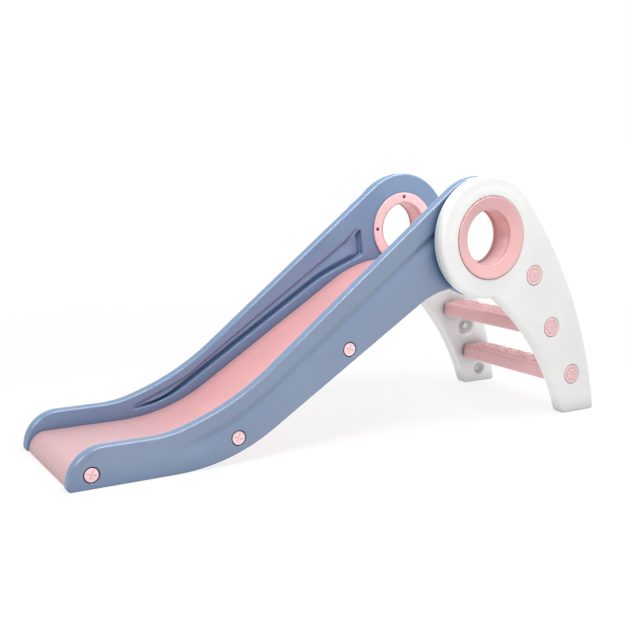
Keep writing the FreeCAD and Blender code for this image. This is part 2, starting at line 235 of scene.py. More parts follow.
class Shell:
    """A closed surface made of rings of points, strips between rings and filled ends."""

    def __init__(self):
        self.points = np.zeros((0, 3))
        self.faces = []

    def ring(self, loop, w):
        """Adds a loop of points at height w and returns their numbers."""
        first = len(self.points)
        w = np.broadcast_to(w, len(loop))
        self.points = np.vstack((self.points, np.column_stack((loop, w))))
        return np.arange(first, first + len(loop))

    def strip(self, a, b):
        """Joins two rings that have as many points."""
        a2, b2 = np.roll(a, -1), np.roll(b, -1)
        self.faces.extend(zip(a.tolist(), a2.tolist(), b2.tolist(), b.tolist()))

    def loft(self, rings):
        """Joins [(loop, w), ...] into a tube; returns its first and last rings."""
        made = [self.ring(loop, w) for loop, w in rings]
        for a, b in zip(made, made[1:]):
            self.strip(a, b)
        return made[0], made[-1]

    def lathe(self, centre, profile, count=96, closed=False):
        """Turns (radius, w) points about an axis through centre."""
        first, last = self.loft([(circle(centre, r, count), w) for r, w in profile])
        if closed:
            self.strip(last, first)
        return first, last

    def fan(self, ring, w_centre):
        """Closes a ring with triangles about its middle."""
        centre = self.points[ring].mean(0)
        centre[2] = w_centre
        self.points = np.vstack((self.points, centre))
        hub = len(self.points) - 1
        for a, b in zip(ring.tolist(), np.roll(ring, -1).tolist()):
            self.faces.append((a, b, hub))

    def fill(self, outer, holes=(), spacing=4.0, height=None, level=0.0):
        """Fills the region inside ring outer and outside rings holes with even triangles."""
        loops = [outer, *holes]
        rims = [self.points[ring][:, :2] for ring in loops]
        low, high = rims[0].min(0), rims[0].max(0)
        rows = np.arange(low[1], high[1], spacing * ROW_STEP)
        grid = []
        for i, v in enumerate(rows):
            u = np.arange(low[0] + (i % 2) * spacing / 2, high[0], spacing)
            grid.append(np.column_stack((u, np.full(len(u), v))))
        grid = np.vstack(grid)
        keep = inside(grid, rims[0])
        for rim in rims[1:]:
            keep &= ~inside(grid, rim)
        grid = grid[keep]
        edge = np.vstack(rims)
        clear = np.ones(len(grid), bool)
        for lo in range(0, len(grid), CHUNK):
            gap = grid[lo:lo + CHUNK, None, :] - edge[None]
            clear[lo:lo + CHUNK] = (gap ** 2).sum(2).min(1) > (RIM_CLEARANCE * spacing) ** 2
        grid = grid[clear]
        flat = np.vstack((edge, grid))
        edges = []
        first = 0
        for rim in rims:
            n = len(rim)
            edges.extend((first + i, first + (i + 1) % n) for i in range(n))
            first += n
        points = [Vector(p) for p in flat.tolist()]
        made, _, faces, origin, _, _ = geometry.delaunay_2d_cdt(points, edges, [], 0, 1e-7)
        ids = np.concatenate([*loops, np.arange(len(grid)) + len(self.points)])
        w = np.full(len(grid), level)
        if height is not None:
            w = w + height(grid)
        self.points = np.vstack((self.points, np.column_stack((grid, w))))
        lost = [place for place, o in zip(made, origin) if not o]
        if lost:
            raise ValueError(f"rings cross near {[tuple(round(c, 1) for c in p) for p in lost[:6]]}")
        index = np.array([ids[o[0]] for o in origin])
        place = np.array([tuple(p) for p in made])
        tris = np.array(faces)
        middle = place[tris].mean(1)
        keep = inside(middle, rims[0])
        for rim in rims[1:]:
            keep &= ~inside(middle, rim)
        self.faces.extend(map(tuple, index[tris[keep]].tolist()))

    def piece(self, name, across="Y", mirror=False):
        """Makes the Blender object; across is the axis that w runs along."""
        order = (0, 2, 1) if across == "Y" else (0, 1, 2)
        places = self.points[:, order] * MM
        if mirror:
            places = places * (1, -1, 1)
        mesh = bpy.data.meshes.new(name)
        mesh.from_pydata(places.tolist(), [], self.faces)
        made = bmesh.new()
        made.from_mesh(mesh)
        bmesh.ops.recalc_face_normals(made, faces=made.faces)
        for face in made.faces:
            face.smooth = True
        made.to_mesh(mesh)
        made.free()
        piece = bpy.data.objects.new(name, mesh)
        bpy.context.scene.collection.objects.link(piece)
        return piece


# (height above the middle of the edge, inset) of the rings along an edge.
PARTING_LINE = ((-1.0, 0.3), (-0.4, 0.03), (0.4, 0.03), (1.0, 0.3))
GROOVED_RIM = ((-8.0, 0.3), (-5.0, 1.1), (-1.3, 1.3), (-0.5, 0.5), (0.5, 0.5), (1.3, 1.3), (5.0, 1.1),
               (8.0, 0.3))
EDGE_STEPS = 8
FACE_MARGIN = 1.2


def edge_rings(loop, low, high, r_low, r_high, h_high=None, middle=PARTING_LINE, facet=1.0):
    """Rings round a plate's edge, from inside the low face to inside the high face.

    The edge is round for a facet of 1 and nearer to a chamfer above that.
    """
    normal = outward(loop)
    seam = middle[0][1] if middle else 0.0
    turn = np.linspace(0, math.pi / 2, EDGE_STEPS + 1)
    across = 1 - np.cos(turn) ** facet
    along = 1 - np.sin(turn) ** facet
    rings = [(loop - normal * (r_low + FACE_MARGIN), low)]
    for rise, inset in zip(across, along):
        rings.append((loop - normal * (seam + r_low * inset), low + r_low * rise))
    half_way = (low + r_low + high - r_high) / 2
    for offset, inset in middle:
        rings.append((loop - normal * inset, half_way + offset))
    for step, (inset, drop) in enumerate(zip(across, along)):
        place = loop - normal * (seam + r_high * inset)
        lift = h_high(place) * step / EDGE_STEPS if h_high else 0.0
        rings.append((place, high - r_high * drop + lift))
    place = loop - normal * (r_high + FACE_MARGIN)
    rings.append((place, high + h_high(place) if h_high else high))
    return rings


# ---------------------------------------------------------------- materials

NOISE_SPAN = (0.3, 0.7)
CLOUD_SCALE = 9.0
WEAR_SCALE = 70.0
GLOSS_SCALE = 55.0
GRAIN_SCALE = 420.0
SWELL_SCALE = 30.0
GLOSS_SPREAD = 0.035
GRAIN_STRENGTH = 0.5
SWELL_STRENGTH = 1.0
# Pointiness is 0.5 on a flat face, more on an outer edge and less in a hollow.
WORN_EDGE = (0.54, 0.66)
# Hollows, by pointiness, and nooks, by ambient occlusion within a reach, are painted darker: painted
# shade.
HOLLOW = (0.43, 0.49)
NOOK_REACH = 0.05
NOOK_SAMPLES = 6
NOOK_SPAN = (0.25, 0.92)


def node(tree, kind, **values):
    """Adds a shader node and sets its properties."""
    made = tree.nodes.new(kind)
    for key, value in values.items():
        setattr(made, key, value)
    return made


def ramp(tree, value, span, reach=(0.0, 1.0), kind="LINEAR"):
    """Maps a value's span to a reach, level beyond both ends."""
    made = node(tree, "ShaderNodeMapRange", interpolation_type=kind)
    made.inputs["From Min"].default_value = span[0]
    made.inputs["From Max"].default_value = span[1]
    made.inputs["To Min"].default_value = reach[0]
    made.inputs["To Max"].default_value = reach[1]
    tree.links.new(value, made.inputs["Value"])
    return made.outputs["Result"]


def noise_at(tree, place, scale, detail):
    """A noise of the given scale over the object's own coordinates."""
    made = node(tree, "ShaderNodeTexNoise")
    made.inputs["Scale"].default_value = scale
    made.inputs["Detail"].default_value = detail
    tree.links.new(place, made.inputs["Vector"])
    return made.outputs["Fac"]


def mix(tree, factor, first, second):
    """Mixes two colours, each a tuple or a socket."""
    made = node(tree, "ShaderNodeMix", data_type="RGBA")
    tree.links.new(factor, made.inputs["Factor"])
    for socket, value in (("A", first), ("B", second)):
        target = [s for s in made.inputs if s.name == socket and s.type == "RGBA"][0]
        if isinstance(value, tuple):
            target.default_value = (*value, 1)
        else:
            tree.links.new(value, target)
    return [s for s in made.outputs if s.type == "RGBA"][0]


def arithmetic(tree, operation, *values):
    """A math node over one or two sockets."""
    made = node(tree, "ShaderNodeMath", operation=operation)
    for value, socket in zip(values, made.inputs):
        tree.links.new(value, socket)
    return made.outputs["Value"]


def bump(tree, height, distance, strength, below=None):
    """A bump from a height, on top of the bump below."""
    made = node(tree, "ShaderNodeBump")
    made.inputs["Distance"].default_value = distance
    made.inputs["Strength"].default_value = strength
    tree.links.new(height, made.inputs["Height"])
    if below:
        tree.links.new(below, made.inputs["Normal"])
    return made.outputs["Normal"]


def plastic(name, colour, roughness, grain=0.00004, swell=0.0002, wear=0.25, specular=0.5,
            shade=(0.55, 0.5, 0.5), toe_shade_and_sheen=None, bounce_tint=None):
    """Moulded plastic: slight colour and gloss variation, fine grain, a soft swell, worn edges.

    Nooks, found by ambient occlusion, and hollows, found by pointiness, get painted shade: they are
    painted darker by the shares in shade. The two optional (start, end, colour) arguments, in metres,
    paint light into the colour. The first paints the part below the first of two X values darker and
    greyer, a painted shade and reflection at the toe. The second paints the part below the first of
    two distances from the middle plane, the inner faces, in a colour that cancels the pink light
    bounced onto them.
    """
    made = bpy.data.materials.new(name)
    made.use_nodes = True
    tree = made.node_tree
    shader = tree.nodes["Principled BSDF"]
    shader.inputs["Specular IOR Level"].default_value = specular
    place = node(tree, "ShaderNodeTexCoord").outputs["Object"]
    pointed = node(tree, "ShaderNodeNewGeometry").outputs["Pointiness"]
    across = node(tree, "ShaderNodeSeparateXYZ")
    tree.links.new(place, across.inputs["Vector"])

    pale = tuple(min(1.0, c * 1.035 + 0.004) for c in colour)
    deep = tuple(c * 0.965 for c in colour)
    worn = tuple(min(1.0, c * 0.8 + 0.2 * 0.9) for c in colour)
    cloud = ramp(tree, noise_at(tree, place, CLOUD_SCALE, 3.0), NOISE_SPAN)
    body = mix(tree, cloud, deep, pale)
    # Painted shade and reflection: below the first X value, at the toe, the colour turns darker and
    # greyer.
    if toe_shade_and_sheen:
        start, end, tint = toe_shade_and_sheen
        body = mix(tree, ramp(tree, across.outputs["X"], (start, end), kind="SMOOTHSTEP"), tint, body)
    # Painted light: below the first distance from the middle plane, on the inner faces, the colour is
    # changed to cancel the pink light bounced onto them.
    if bounce_tint:
        start, end, tint = bounce_tint
        side = arithmetic(tree, "ABSOLUTE", across.outputs["Y"])
        body = mix(tree, ramp(tree, side, (start, end), kind="SMOOTHSTEP"), tint, body)

    # Painted shade: the colour is darkened by the shade shares in nooks found by ambient occlusion and in
    # hollows.
    nook = node(tree, "ShaderNodeAmbientOcclusion", samples=NOOK_SAMPLES)
    nook.inputs["Distance"].default_value = NOOK_REACH
    unshaded = arithmetic(tree, "MINIMUM", ramp(tree, nook.outputs["AO"], NOOK_SPAN),
                       ramp(tree, pointed, HOLLOW))
    body = mix(tree, unshaded, tuple(c * part for c, part in zip(colour, shade)), body)
    edge = ramp(tree, pointed, WORN_EDGE, (0.0, wear))
    patches = ramp(tree, noise_at(tree, place, WEAR_SCALE, 3.0), NOISE_SPAN)
    body = mix(tree, arithmetic(tree, "MULTIPLY", edge, patches), body, worn)
    tree.links.new(body, shader.inputs["Base Color"])

    gloss = ramp(tree, noise_at(tree, place, GLOSS_SCALE, 4.0), NOISE_SPAN,
                 (roughness - GLOSS_SPREAD, roughness + GLOSS_SPREAD))
    tree.links.new(gloss, shader.inputs["Roughness"])
    broad = bump(tree, noise_at(tree, place, SWELL_SCALE, 1.0), swell, SWELL_STRENGTH)
    fine = bump(tree, noise_at(tree, place, GRAIN_SCALE, 1.0), grain, GRAIN_STRENGTH, broad)
    tree.links.new(fine, shader.inputs["Normal"])
    return made


def metal(name, colour, roughness):
    """Plated or turned metal with fine scratches."""
    made = plastic(name, colour, roughness, grain=0.00002, swell=0.00002, wear=0.1)
    made.node_tree.nodes["Principled BSDF"].inputs["Metallic"].default_value = 1.0
    return made


# Each plastic's shade shares set its painted shade in nooks and hollows. The blue's inner faces and shade
# shares are painted bluer to cancel the pink light bounced onto them from the bed.
BLUE = plastic("blue_shell", (0.188, 0.250, 0.374), 0.22, grain=0.00002, swell=0.00007,
               specular=0.8, shade=(0.40, 0.55, 0.72),
               bounce_tint=(0.162, 0.172, (0.184, 0.282, 0.445)))
PINK = plastic("pink_shell", (0.75, 0.46, 0.47), 0.34)
# The bed is painted darker and greyer towards its toe: painted shade and reflection.
BED_PINK = plastic("pink_bed", (0.74, 0.375, 0.375), 0.37, toe_shade_and_sheen=(-0.56, -0.22, (0.60, 0.375, 0.39)))
# The white legs' inner faces and shade shares are painted cooler to cancel the pink light bounced onto
# them.
WHITE = plastic("white_shell", (0.80, 0.795, 0.79), 0.38, wear=0.1, shade=(0.50, 0.56, 0.56),
               bounce_tint=(0.183, 0.192, (0.83, 0.87, 0.87)))
RING_PINK = plastic("pink_ring", (0.76, 0.42, 0.425), 0.15, grain=0.00002, swell=0.00008, specular=0.8)
CLAMP_PINK = plastic("pink_clamp", (0.90, 0.61, 0.63), 0.28, grain=0.00002, swell=0.00008)
# The caps' red-brown shade shares paint shade into their sunk emblems.
CAP_PINK = plastic("pink_cap", (0.85, 0.565, 0.58), 0.36, shade=(0.62, 0.34, 0.34))
PALE_CAP_PINK = plastic("pale_pink_cap", (0.95, 0.67, 0.69), 0.36, shade=(0.62, 0.34, 0.34))
WASHER = plastic("washer_plastic", (0.70, 0.70, 0.69), 0.5)
STEEL = metal("zinc_plate", (0.60, 0.60, 0.61), 0.35)
BLACK_STEEL = metal("blackened_steel", (0.15, 0.11, 0.11), 0.42)
BRASS = metal("turned_brass", (0.78, 0.58, 0.28), 0.3)


def finish(piece, material, body, slot, *nodes):
    """Gives a piece its material and body, and hides the CAD nodes that it stands for; slot is not used.
    """
    piece.data.materials.clear()
    piece.data.materials.append(material)
    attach(piece, body)
    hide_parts(*nodes)
    return piece


# ---------------------------------------------------------------- side panels

RAMP_ANGLE = math.radians(38.2)
BELLY_ANGLE = math.radians(32.2)
TOE_ANGLE = math.radians(18.0)
NECK_ANGLE = math.radians(8.0)
RIM_Z = 86.5
TOE_BEND_X = -472.0
BELLY_X = -334.0
NECK_X = 194.5
NECK_FILLET_R = 16.0
RAMP_BEND_R = 600.0
TOE_BEND_R = 250.0
NOSE_R = 77.0
HEEL_R = 9.0
BELLY_R = 430.0
NECK_R = 200.0
PANEL_SPACING = 2.6
PANEL_R = 4.6
PANEL_FACET = 1.45


def panel_loop():
    """The side panel's outline: flat toe, straight ramp, round head."""
    rim_end = (HUB[0] - HEAD_R * math.sin(RAMP_ANGLE), HUB[1] + HEAD_R * math.cos(RAMP_ANGLE))
    toe_slope = math.tan(TOE_ANGLE)
    ramp_slope = math.tan(RAMP_ANGLE)
    ramp_x = (
        rim_end[1] - RIM_Z + TOE_BEND_X * toe_slope - rim_end[0] * ramp_slope
    ) / (toe_slope - ramp_slope)
    ramp_z = RIM_Z + (ramp_x - TOE_BEND_X) * toe_slope
    neck_z = (NECK_X - BELLY_X) * math.tan(BELLY_ANGLE)
    fillet = NECK_FILLET_R
    along = np.array((math.cos(NECK_ANGLE), math.sin(NECK_ANGLE)))
    foot = np.array((NECK_X + fillet * along[1], neck_z - fillet * along[0]))
    to_hub = np.array(HUB) - foot
    off_axis = to_hub[1] * along[0] - to_hub[0] * along[1]
    reach = to_hub @ along - math.sqrt((HEAD_R + fillet) ** 2 - off_axis ** 2)
    centre = foot + reach * along
    on_neck = centre + fillet * np.array((-along[1], along[0]))
    on_head = np.array(HUB) + (centre - HUB) / np.linalg.norm(centre - HUB) * HEAD_R
    lower = rounded([
        (*rim_end, 0),
        (ramp_x, ramp_z, RAMP_BEND_R),
        (TOE_BEND_X, RIM_Z, TOE_BEND_R),
        (TOE_X, RIM_Z, NOSE_R),
        (TOE_X, 0.0, HEEL_R),
        (BELLY_X, 0.0, BELLY_R),
        (NECK_X, neck_z, NECK_R),
        (*on_neck, 0),
    ], closed=False)
    path = np.vstack((
        lower,
        arc_points(centre, on_neck, on_head, -1),
        arc_points(HUB, on_head, rim_end, 1),
    ))
    return anticlockwise(resample(path, PANEL_SPACING))


CREASE = resample(rounded([
    (-560.0, 52.0, 0),
    (-372.0, 58.0, 480.0),
    (240.0, 507.0, 0),
], closed=False), 3.0, closed=False)
CREASE_DROP = 5.2
CREASE_WIDTH = 16.0
CREASE_START = -500.0
CREASE_RUN_IN = 160.0
# Below the crease the face comes back by a share of the drop, from a gap on, over a length.
RECOVERY = 0.75
RECOVERY_GAP = 9.0
RECOVERY_RUN = 25.0
BEAD_DROP = 2.2
BEAD_GAP = 8.0
BEAD_RUN = 5.5
BEAD_END = 88.0
BEAD_RUN_OUT = 46.0


def outer_relief(points):
    """The outer face: a raised band under the rim, and a bead round the toe's nose."""
    u, v = points[:, 0], points[:, 1]
    gap, right = distance_to(points, CREASE)
    below = np.where(right, gap, -gap)
    fade = smooth((u - CREASE_START) / CREASE_RUN_IN)
    relief = -CREASE_DROP * smooth(below / CREASE_WIDTH + 0.5) * fade
    relief *= 1 - RECOVERY * smooth((below - RECOVERY_GAP) / RECOVERY_RUN)
    nose_x = TOE_X + NOSE_R
    from_nose = np.hypot(u - nose_x, np.maximum(v - (RIM_Z - NOSE_R), 0))
    from_edge = np.where(u < nose_x, NOSE_R - from_nose, NOSE_R)
    bead = smooth((from_edge - BEAD_GAP) / BEAD_RUN) * smooth((TOE_X + BEAD_END - u) / BEAD_RUN_OUT)
    return relief - BEAD_DROP * bead


POCKET_TOP = [
    (-472.0, 60.0, 5.0),
    (-354.0, 73.0, 300.0),
    (82.0, 347.0, 400.0),
    (205.0, 396.0, 8.0),
    (196.0, 480.0, 12.0),
    (150.0, 437.0, 120.0),
    (-309.0, 125.0, 300.0),
]
POCKET_FLOOR = [
    (-425.0, 73.5, 3.0),
    (-362.5, 85.1, 170.0),
    (69.5, 360.1, 390.0),
    (179.5, 406.1, 5.0),
    (171.5, 449.0, 7.0),
    (141.5, 424.1, 100.0),
    (-319.5, 116.1, 280.0),
]
FLOOR_LOW_EDGE = resample(np.array([corner[:2] for corner in POCKET_FLOOR[:5]]), 4.0, closed=False)
FLOOR_HIGH_EDGE = resample(
    np.array([corner[:2] for corner in (*POCKET_FLOOR[4:], POCKET_FLOOR[0])]), 4.0, closed=False)
CHANNEL_DEPTH = 12.5
FLOOR_SHALLOW = 2.5
FLOOR_DEEP = 9.5
FLOOR_LEAN = 0.12
POCKET_SPACING = 3.5
POCKET_LIP = 2.2
CHANNEL_SIDE = (0.7, -0.7)
CHANNEL_RUN_IN = 110.0
# (share of the way from rim to floor, share of the channel's depth, share of the floor's depth)
CHANNEL_PROFILE = (
    (0.0, 0.06, 0.03), (0.04, 0.3, 0.10), (0.09, 0.72, 0.22), (0.15, 0.93, 0.36), (0.22, 1.0, 0.5),
    (0.34, 0.93, 0.7), (0.5, 0.75, 0.86), (0.7, 0.5, 0.95), (0.86, 0.29, 0.99), (0.94, 0.19, 1.0),
)


def matched(corners, like, spacing):
    """A rounded loop with as many points on each arc and side as the loop like has."""
    count = len(corners)
    arcs = [corner_arc(corners, i) for i in range(count)]
    guide = [corner_arc(like, i) for i in range(count)]
    out = []
    for i, (centre, start, turn) in enumerate(arcs):
        length = abs(guide[i][2]) * np.linalg.norm(guide[i][1])
        out.append(turned(centre, start, turn, max(5, round(length / spacing)))[:-1])
        here = turned(centre, start, turn, 1)[-1]
        j = (i + 1) % count
        there = arcs[j][0] + arcs[j][1]
        guide_gap = guide[j][0] + guide[j][1] - turned(*guide[i], 1)[-1]
        steps = max(1, round(np.linalg.norm(guide_gap) / spacing))
        out.append(here + (there - here) * np.linspace(0, 1, steps + 1)[:-1, None])
    return np.vstack(out)


def floor_depth(points):
    """The pocket's floor leans out from its upper edge to its lower and back edges."""
    low, _ = distance_to(points, FLOOR_LOW_EDGE)
    high, _ = distance_to(points, FLOOR_HIGH_EDGE)
    lean = np.minimum(FLOOR_DEEP - FLOOR_SHALLOW, FLOOR_LEAN * (low + high))
    return FLOOR_SHALLOW + lean * low / (low + high)


def pocket_rings(face_w):
    """Rings from the pocket's rim to its floor.

    Along the bottom and the back end the wall drops into a channel, and climbs to the floor.
    """
    top = matched(POCKET_TOP, POCKET_TOP, POCKET_SPACING)
    floor = matched(POCKET_FLOOR, POCKET_TOP, POCKET_SPACING)
    level = floor_depth(floor)
    facing = outward(top) @ np.array(CHANNEL_SIDE)
    channel = smooth((facing + 0.1) / 0.5) * smooth((top[:, 0] - POCKET_TOP[0][0]) / CHANNEL_RUN_IN)
    lip = top + outward(top) * POCKET_LIP
    rings = [(lip, face_w), (top + outward(top) * 0.9, face_w + 0.25)]
    for across, in_channel, on_slope in CHANNEL_PROFILE:
        down = level * on_slope
        rings.append((top + (floor - top) * across,
                      face_w + down + (CHANNEL_DEPTH * in_channel - down) * channel))
    rings.append((floor, face_w + level - 0.9 * channel))
    tip_x = POCKET_FLOOR[0][0] + 25.0
    inset = 0.3 + 1.3 * smooth((floor[:, :1] - tip_x) / 30.0)
    inner = floor - outward(floor) * inset
    rings.append((inner, face_w + floor_depth(inner) + 0.5 * channel))
    return rings


PANEL_RECESS_R = 17.0
PANEL_RECESS_DEPTH = 5.2


def side_panel(side):
    """The blue panel with its hub bore, cap recesses and the pocket on its inner face."""
    shell = Shell()
    loop = panel_loop()
    rings = edge_rings(
        loop, PANEL_IN, PANEL_OUT, PANEL_R, PANEL_R, outer_relief, GROOVED_RIM, PANEL_FACET)
    low, high = shell.loft(rings)
    bore = shell.lathe(HUB, (
        (TUBE_R + 3.0, PANEL_IN), (TUBE_R + 1.2, PANEL_IN + 0.6), (TUBE_R + 0.5, PANEL_IN + 2.2),
        (TUBE_R + 0.5, PANEL_OUT - 2.2), (TUBE_R + 1.2, PANEL_OUT - 0.6), (TUBE_R + 3.0, PANEL_OUT),
    ))
    pocket = shell.loft(pocket_rings(PANEL_IN))
    shell.fill(pocket[1], spacing=4.5, height=floor_depth, level=PANEL_IN)
    shell.fill(low, [bore[0], pocket[0]], spacing=4.5, level=PANEL_IN)
    recesses = []
    for place in centres("panel_caps_right"):
        level = PANEL_OUT + float(outer_relief(np.array([place]))[0])
        rim = circle(place, PANEL_RECESS_R + 2.0, 64)
        first, last = shell.loft([
            (rim, PANEL_OUT + outer_relief(rim)),
            (circle(place, PANEL_RECESS_R + 0.9, 64), level - 0.25),
            (circle(place, PANEL_RECESS_R + 0.2, 64), level - 1.2),
            (circle(place, PANEL_RECESS_R, 64), level - PANEL_RECESS_DEPTH),
        ])
        shell.fan(last, level - PANEL_RECESS_DEPTH)
        recesses.append(first)
    shell.fill(high, [bore[1], *recesses], spacing=3.6, height=outer_relief, level=PANEL_OUT)
    piece = shell.piece(f"panel_shell_{side}", mirror=side == "left")
    return finish(piece, BLUE, "slide", "panel_blue", f"side_panel_{side}")


# ---------------------------------------------------------------- bed

BED_T = 30.0
BED_SPACING = 4.0
BED_DISH = 1.5
BED_TOE_Z = 45.0
BED_BEND_X = -355.0
BED_LIP_T = 18.0
RIB_PITCH = 92.0
RIB_DEPTH = 7.0
# How far each ring near the bed's sides stands inside the outline.
BED_TRIMS = {0.0: 3.0, 0.5: 1.4, 1.6: 0.4}
NOTCH_DEPTH = 5.0


def bed_loop():
    """The bed's side outline: toe lip, ramp and seat, and the underside."""
    toe_z = BED_TOE_Z
    bend_x = BED_BEND_X
    seat_z = BED_HIGH[2]
    end_x = BED_HIGH[0]
    seat_x = bend_x + (seat_z - toe_z) / math.tan(BELLY_ANGLE)
    under = BED_T * math.tan(BELLY_ANGLE / 2)
    lip_in = BED_LOW[0] + BED_LIP_T
    floor_z = BED_LOW[2]
    path = rounded([
        (BED_LOW[0], floor_z, 2.0),
        (lip_in, floor_z, 2.0),
        (lip_in, toe_z - BED_T, 8.0),
        (bend_x + under, toe_z - BED_T, 430.0),
        (seat_x + under, seat_z - BED_T, 250.0),
        (end_x, seat_z - BED_T, 9.0),
        (end_x, seat_z, 16.0),
        (seat_x, seat_z, 280.0),
        (bend_x, toe_z, 400.0),
        (BED_LOW[0], toe_z, 38.0),
    ])
    return anticlockwise(resample(path, BED_SPACING))


def bed():
    """The pink chute: a slightly dished top, cross channels below, notches for the clamp rings."""
    loop = bed_loop()
    normal = outward(loop)
    half = BED_HIGH[1]
    stations = np.concatenate((
        -half + np.array((0.0, 0.5, 1.6, 3.4)),
        np.linspace(-half + 8, half - 8, 41),
        half - np.array((3.4, 1.6, 0.5, 0.0)),
    ))
    is_top = smooth((normal[:, 1] - 0.35) / 0.3)
    is_under = smooth((-normal[:, 1] - 0.6) / 0.25)
    is_under *= smooth((loop[:, 0] - BED_LOW[0] - 40) / 20) * smooth((BED_HIGH[0] - 30 - loop[:, 0]) / 20)
    along = np.cumsum(np.linalg.norm(np.diff(loop, axis=0, prepend=loop[-1:]), axis=1))
    wave = (along % RIB_PITCH) / RIB_PITCH
    channel = smooth((wave - 0.18) / 0.12) * smooth((0.82 - wave) / 0.12)
    hub_gap = np.hypot(loop[:, 0] - HUB[0], loop[:, 1] - HUB[1])
    shell = Shell()
    rings = []
    for y in stations:
        inset = BED_TRIMS.get(round(half - abs(y), 1), 0.0)
        across = smooth((half - 16 - abs(y)) / 14)
        dish = BED_DISH * (1 - (y / half) ** 2)
        depth = inset + dish * is_top + RIB_DEPTH * channel * is_under * across
        notched = (half - abs(y) < NOTCH_DEPTH - 1.0) & (hub_gap < INNER_RING_R + 1.5)
        place = loop - normal * depth[:, None]
        rings.append((place, np.where(notched, np.sign(y) * (half - NOTCH_DEPTH), y)))
    low, high = shell.loft(rings)
    shell.fill(low, spacing=6.0, level=-half)
    shell.fill(high, spacing=6.0, level=half)
    return finish(shell.piece("chute_bed"), BED_PINK, "slide", "moulded_pink", "slide_bed")


# ---------------------------------------------------------------- legs

LEG_R = 7.0
LEG_INNER_R = 6.5
LEG_SPACING = 2.6
LEG_BACK_R = 1120.0
LEG_FRONT_R = 612.0
LEG_NOTCH_R = 10.0
FOOT_CORNER_R = 10.5
FOOT_BACK = (691.05, 0.0)
FOOT_FRONT = (579.0, 0.0)
SHIN = (354.0, 312.0)
# Draws the leg a hair towards the hub, inside the CAD box.
LEG_TRIM = 0.9988


def leg_loop():
    """The leg's outline: a round disc running down into a curved, widening foot."""
    def cross(c1, r1, c2, r2, side):
        d = math.dist(c1, c2)
        ux, uz = (c2[0] - c1[0]) / d, (c2[1] - c1[1]) / d
        along = (r1 * r1 - r2 * r2 + d * d) / (2 * d)
        off = side * math.sqrt(r1 * r1 - along * along)
        return c1[0] + along * ux - off * uz, c1[1] + along * uz + off * ux

    def towards(a, b, length):
        d = math.dist(a, b)
        return a[0] + (b[0] - a[0]) * length / d, a[1] + (b[1] - a[1]) * length / d

    back_centre = cross(HUB, LEG_BACK_R - DISC_R, FOOT_BACK, LEG_BACK_R, -1)
    back_top = towards(back_centre, HUB, LEG_BACK_R)
    front_centre = cross(SHIN, LEG_FRONT_R, FOOT_FRONT, LEG_FRONT_R, -1)
    notch = cross(HUB, DISC_R + LEG_NOTCH_R, front_centre, LEG_FRONT_R - LEG_NOTCH_R, 1)
    notch_disc = towards(HUB, notch, DISC_R)
    notch_front = towards(front_centre, notch, LEG_FRONT_R)
    front = arc_points(front_centre, notch_front, FOOT_FRONT, -1, 0.01)
    front = front[np.hypot(*(front - FOOT_FRONT).T) > FOOT_CORNER_R]
    back = arc_points(back_centre, FOOT_BACK, back_top, 1, 0.005)
    back = back[np.hypot(*(back - FOOT_BACK).T) > FOOT_CORNER_R]
    path = np.vstack((
        arc_points(HUB, back_top, notch_disc, 1),
        arc_points(notch, notch_disc, notch_front, -1, 0.1),
        front,
        bend(front[-1], FOOT_FRONT, (FOOT_FRONT[0] + FOOT_CORNER_R, 0.0)),
        bend((FOOT_BACK[0] - FOOT_CORNER_R, 0.0), FOOT_BACK, back[0]),
        back,
    ))
    loop = anticlockwise(resample(path, LEG_SPACING))
    loop[:, 0] = HUB[0] + (loop[:, 0] - HUB[0]) * LEG_TRIM
    return loop


def bend(start, corner, end):
    """A quarter-round curve from start to end, inside a corner."""
    t = np.linspace(0, 1, 12)[:, None]
    pull = 0.5523
    near = (1 - pull) * np.array(start) + pull * np.array(corner)
    far = (1 - pull) * np.array(end) + pull * np.array(corner)
    curve = (1 - t) ** 3 * np.array(start) + 3 * t * (1 - t) ** 2 * near
    return curve + 3 * t * t * (1 - t) * far + t ** 3 * np.array(end)


BOSS_R = 113.0
BOSS_SLOPE = 10.0
BOSS_RISE = 0.8
# (place, radius, depth, height of the nub in the middle) of the dents in the inner face.
LEG_DENTS = (((633.0, 39.0), 17.0, 12.0, 2.0), ((580.0, 168.0), 26.0, 11.0, 7.0))
RING_SEAT = LEG_OUT - 10.0
LEG_RECESS_R = 24.4
LEG_RECESS_W = LEG_OUT - 6.0


def leg_relief(points):
    """A low round boss about the hub stands proud of the rest of the outer face."""
    gap = np.hypot(points[:, 0] - HUB[0], points[:, 1] - HUB[1])
    return -BOSS_RISE * smooth((gap - BOSS_R) / BOSS_SLOPE)


